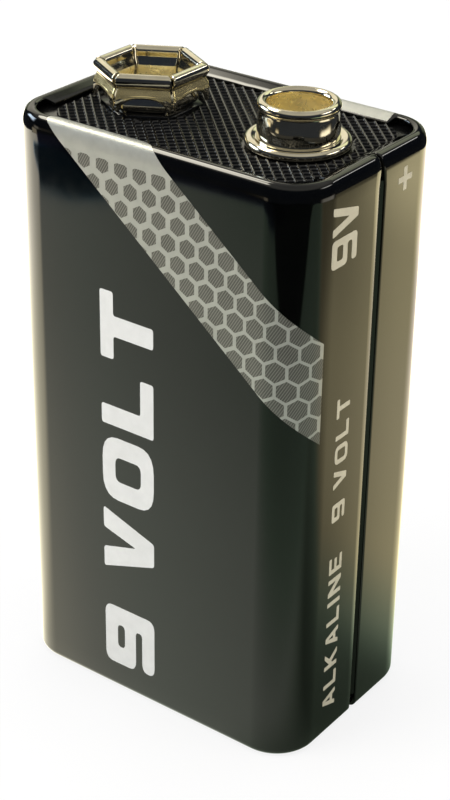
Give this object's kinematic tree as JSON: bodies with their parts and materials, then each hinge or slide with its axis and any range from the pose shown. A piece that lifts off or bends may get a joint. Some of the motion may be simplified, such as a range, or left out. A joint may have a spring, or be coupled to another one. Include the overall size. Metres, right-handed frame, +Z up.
{
  "type": "nine volt battery",
  "caption": "Rectangular nine volt block battery: folded steel jacket, knurled plastic top with a snap stud and a petalled snap socket, sealed cells, straps and leads inside.",
  "frame": {"origin": "middle of the bottom, on the surface that the battery stands on", "axes": "+Z up towards the terminals, +X along the wide side towards the positive stud, Y along the narrow side, with -Y the wide front face and the jacket's seam on +X"},
  "size_m": [0.026, 0.0168, 0.0483],
  "materials": {
    "jacket_lacquer": "black satin-gloss lacquer printed on thin sheet steel",
    "black_plastic": "moulded, with a fine diamond knurl on top",
    "nickel_plate": "bright nickel plate with a warm tint",
    "rivet_steel": "plain bright steel",
    "strap_nickel": "cold-rolled nickel strip",
    "fibre_card": "grey-brown vulcanised fibre card",
    "cell_steel": "drawn nickel-plated steel",
    "seal_nylon": "moulded nylon",
    "sleeve_film": "thin shrunk film"
  },
  "bodies": {
    "root": {"base_insulator": "fibre_card", "base_plate": "black_plastic", "base_strap_1": "strap_nickel", "base_strap_2": "strap_nickel", "base_strap_3": "strap_nickel", "cell_1_can": "cell_steel", "cell_1_cap": "cell_steel", "cell_1_seal": "seal_nylon", "cell_1_sleeve": "sleeve_film", "cell_2_can": "cell_steel", "cell_2_cap": "cell_steel", "cell_2_seal": "seal_nylon", "cell_2_sleeve": "sleeve_film", "cell_3_can": "cell_steel", "cell_3_cap": "cell_steel", "cell_3_seal": "seal_nylon", "cell_3_sleeve": "sleeve_film", "cell_4_can": "cell_steel", "cell_4_cap": "cell_steel", "cell_4_seal": "seal_nylon", "cell_4_sleeve": "sleeve_film", "cell_5_can": "cell_steel", "cell_5_cap": "cell_steel", "cell_5_seal": "seal_nylon", "cell_5_sleeve": "sleeve_film", "cell_6_can": "cell_steel", "cell_6_cap": "cell_steel", "cell_6_seal": "seal_nylon", "cell_6_sleeve": "sleeve_film", "jacket": "jacket_lacquer", "negative_lead": "strap_nickel", "negative_socket": "nickel_plate", "positive_lead": "strap_nickel", "positive_stud": "nickel_plate", "socket_rivet": "rivet_steel", "stud_rivet": "rivet_steel", "top_insulator": "fibre_card", "top_plate": "black_plastic", "top_strap_1": "strap_nickel", "top_strap_2": "strap_nickel"}
  },
  "joints": []
}
